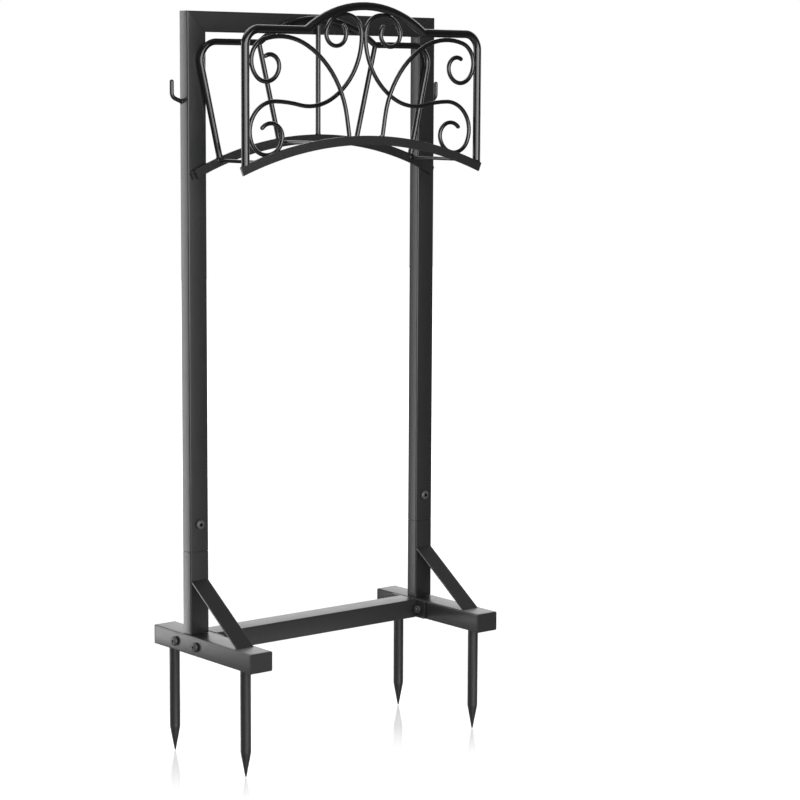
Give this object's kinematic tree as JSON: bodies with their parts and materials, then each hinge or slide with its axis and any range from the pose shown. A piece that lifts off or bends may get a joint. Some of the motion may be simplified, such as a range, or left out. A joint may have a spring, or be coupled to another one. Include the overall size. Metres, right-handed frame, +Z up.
{
  "type": "hose stand",
  "caption": "Free-standing garden hose stand with a scroll-work hanger on a two-post frame, braced feet and ground spikes.",
  "frame": {"origin": "ground level midway between the feet, on the underside of the crossbar in the plane of the posts", "axes": "+Z up, +X to the right seen from the front, hanger reaching towards -Y"},
  "size_m": [0.4666, 0.2315, 1.0402],
  "materials": {
    "tube_coat": "satin black powder coat",
    "bar_coat": "glossy black coat",
    "fastener": "black-finished steel"
  },
  "bodies": {
    "root": {"arch_scroll_left": "bar_coat", "arch_scroll_right": "bar_coat", "back_bar_centre": "bar_coat", "back_bar_left": "bar_coat", "back_bar_right": "bar_coat", "back_hoop": "bar_coat", "brace_left": "tube_coat", "brace_right": "tube_coat", "crossbar": "tube_coat", "crossbar_bolt_front_left": "fastener", "crossbar_bolt_front_right": "fastener", "crossbar_bolt_rear_left": "fastener", "crossbar_bolt_rear_right": "fastener", "crossbar_flange_left": "tube_coat", "crossbar_flange_right": "tube_coat", "crossbar_nut_front_left": "fastener", "crossbar_nut_front_right": "fastener", "crossbar_nut_rear_left": "fastener", "crossbar_nut_rear_right": "fastener", "foot_end_plate_front_left": "tube_coat", "foot_end_plate_front_right": "tube_coat", "foot_end_plate_rear_left": "tube_coat", "foot_end_plate_rear_right": "tube_coat", "foot_left": "tube_coat", "foot_right": "tube_coat", "front_hoop": "bar_coat", "ground_spike_front_left": "tube_coat", "ground_spike_front_right": "tube_coat", "ground_spike_rear_left": "tube_coat", "ground_spike_rear_right": "tube_coat", "hanger_spacer_left": "tube_coat", "hanger_spacer_right": "tube_coat", "joint_bolt_left": "fastener", "joint_bolt_right": "fastener", "joint_nut_left": "fastener", "joint_nut_right": "fastener", "joint_sleeve_left": "tube_coat", "joint_sleeve_right": "tube_coat", "lower_post_left": "tube_coat", "lower_post_right": "tube_coat", "s_scroll_left": "bar_coat", "s_scroll_right": "bar_coat", "saddle_front_strip": "tube_coat", "saddle_rear_strip": "tube_coat", "saddle_rung_inner_left": "bar_coat", "saddle_rung_inner_right": "bar_coat", "saddle_rung_outer_left": "bar_coat", "saddle_rung_outer_right": "bar_coat", "tool_hook_left": "bar_coat", "tool_hook_right": "bar_coat", "top_rail": "tube_coat", "upper_post_left": "tube_coat", "upper_post_right": "tube_coat"}
  },
  "joints": []
}
